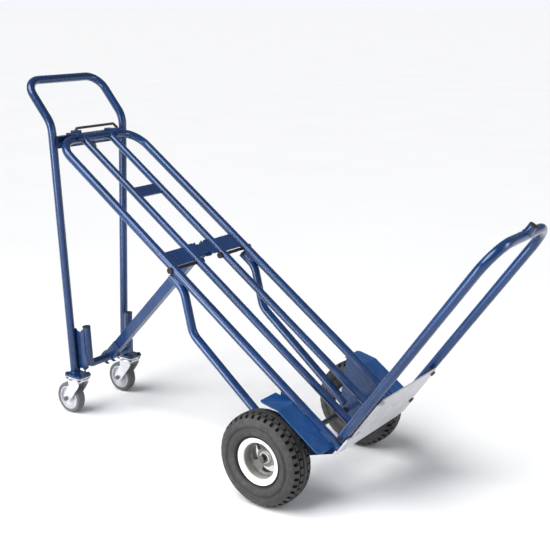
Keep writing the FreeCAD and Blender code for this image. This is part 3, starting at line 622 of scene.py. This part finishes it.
def build_beads():
    L = "load_frame"
    for y in (YI, -YI):
        saddle(RO, RI, W(0, y, 0), UD, YD, L)
    for sg in (1, -1):
        # straps
        for n in (2.9, -2.9):
            h = math.sqrt(11.0 ** 2 - 2.5 ** 2) * 0.001
            ho = math.sqrt(12.5 ** 2 - 2.5 ** 2) * 0.001
            bead(L, [W(0.2365, sg * (YI - h), n * 0.001), W(0.2735, sg * (YI - h), n * 0.001)], 2.0)
            bead(L, [W(0.4935, sg * (YI + h), n * 0.001), W(0.5435, sg * (YI + h), n * 0.001)], 2.0)
            bead(L, [W(0.4935, sg * (YR - ho), n * 0.001), W(0.5435, sg * (YR - ho), n * 0.001)], 2.0)
            bead(L, [W(0.4885, sg * (YI - h), n * 0.001), W(0.5395, sg * (YI - h), n * 0.001)], 2.0)
        # axle brackets under the outer rails
        for d in (3.4, -3.4):
            bead(L, [W(1.012, sg * YR + d * 0.001, -0.0123), W(1.10, sg * YR + d * 0.001, -0.0123)], 2.1)
            bead(L, [W(1.13, sg * YR + d * 0.001, -0.0123), W(1.222, sg * YR + d * 0.001, -0.0123)], 2.1)
            # wheel brace where it leaves the rail
            bead(L, [W(0.5575, sg * YR + d * 0.0021, -0.0125), W(0.606, sg * YR + d * 0.0021, -0.0127)], 2.0)
        # mudguard along the rail
        bead(L, [W(1.068, sg * (YR + 0.0127), 0.0008), W(1.110, sg * (YR + 0.0127), 0.0008)], 1.8)
        bead(L, [W(1.165, sg * (YR + 0.0127), 0.0008), W(1.208, sg * (YR + 0.0127), 0.0008)], 1.8)
        # rail ends on the toe plate
        ring_bead(W(FL - 0.0012, sg * YI, 0), UD, RI + 0.0004, L, 1.9)
        # legs on the caster plates and the cross bar
        G = "leg_frame"
        ring_bead(Vector((LEG_X, sg * leg_y(0.138), 0.1382)), ZD, RO + 0.0004, G, 2.2)
        for x in (-0.0101, 0.0101):
            yy = sg * (leg_y(0.8755) - math.sqrt(12.5 ** 2 - 10 ** 2) * 0.001)
            bead(G, [Vector((LEG_X + x, yy, 0.8595)), Vector((LEG_X + x, yy, 0.8915))], 2.0)
    saddle(0.0125, 0.011, W(HOOP_S, 0, HOOP_N), ND, YD, "nose_hoop", 2.0)
    for body, (v, f) in BEADS.items():
        new_object("weld_beads_" + body, v, f, body, "blue_paint", 60)


build_beads()

# ------------------------------------------------------------------ floor, light, camera
floor_me = bpy.data.meshes.new("studio_floor")
floor_me.from_pydata([(-400, -400, 0), (400, -400, 0), (400, 400, 0), (-400, 400, 0)], [], [(0, 1, 2, 3)])
floor = bpy.data.objects.new("studio_floor", floor_me)
bpy.context.scene.collection.objects.link(floor)
fm = Mat("pale_floor")
fm.set("Base Color", fm.mix(fm.mr(fm.noise(1.3, 3.0), 0.3, 0.7, 0.0, 1.0), (0.86, 0.86, 0.86), (0.88, 0.88, 0.88)))
fm.set("Roughness", fm.mr(fm.noise(3.0, 2.0), 0.3, 0.7, 0.85, 0.95))
fm.set("Specular IOR Level", 0.1)
floor_me.materials.append(fm.m)

scene = bpy.context.scene
world = bpy.data.worlds.new("studio")
scene.world = world
world.use_nodes = True
bg = world.node_tree.nodes["Background"]
bg.inputs["Color"].default_value = (0.93, 0.95, 1.0, 1)
wt = world.node_tree
wc = wt.nodes.new("ShaderNodeTexCoord")
wz = wt.nodes.new("ShaderNodeSeparateXYZ")
wt.links.new(wc.outputs["Generated"], wz.inputs[0])
wm = wt.nodes.new("ShaderNodeMapRange")
for key, val in (("From Min", 0.015), ("From Max", 0.09), ("To Min", 0.98), ("To Max", 0.24)):
    wm.inputs[key].default_value = val
wt.links.new(wz.outputs["Z"], wm.inputs["Value"])
wt.links.new(wm.outputs["Result"], bg.inputs["Strength"])


def area(name, loc, target, size, power, size_y=None, colour=(1, 1, 1)):
    d = bpy.data.lights.new(name, "AREA")
    d.shape = "RECTANGLE"
    d.size, d.size_y = size, size_y or size
    d.energy = power
    d.color = colour
    o = bpy.data.objects.new(name, d)
    o.location = loc
    o.rotation_mode = "QUATERNION"
    o.rotation_quaternion = (Vector(target) - Vector(loc)).to_track_quat("-Z", "Y")
    scene.collection.objects.link(o)
    return o


sun_d = bpy.data.lights.new("soft_key", "SUN")
sun_d.energy, sun_d.angle = 3.35, math.radians(46)
sun = bpy.data.objects.new("soft_key", sun_d)
sun.rotation_mode = "QUATERNION"
sun.rotation_quaternion = Vector((0.30, 0.64, -1.0)).to_track_quat("-Z", "Y")
scene.collection.objects.link(sun)
area("front_left", (-0.75, -2.8, 0.80), (-0.1, 0.0, 0.5), 0.9, 54, 1.8, (0.95, 0.97, 1.0))
area("edge_right", (2.3, 0.6, 1.6), (0.1, 0.0, 0.5), 0.4, 14, 1.6, (0.93, 0.96, 1.0))

cam_d = bpy.data.cameras.new("photo_view")
cam = bpy.data.objects.new("photo_view", cam_d)
scene.collection.objects.link(cam)
yaw, pitch = math.radians(36.4), math.radians(-15.3)
fwd = Vector((-math.sin(yaw) * math.cos(pitch), math.cos(yaw) * math.cos(pitch), math.sin(pitch)))
right = Vector((math.cos(yaw), math.sin(yaw), 0))
up = right.cross(fwd)
rot = Matrix((right, up, -fwd)).transposed()
cam.rotation_mode = "QUATERNION"
cam.location = (1.4361 + AX, -2.1408, 1.2783)
cam.rotation_quaternion = rot.to_quaternion()
cam_d.sensor_fit = "HORIZONTAL"
cam_d.sensor_width = 36.0
cam_d.lens = 65.04
cam_d.clip_start, cam_d.clip_end = 0.05, 200.0
scene.camera = cam
scene.view_settings.view_transform = "Standard"
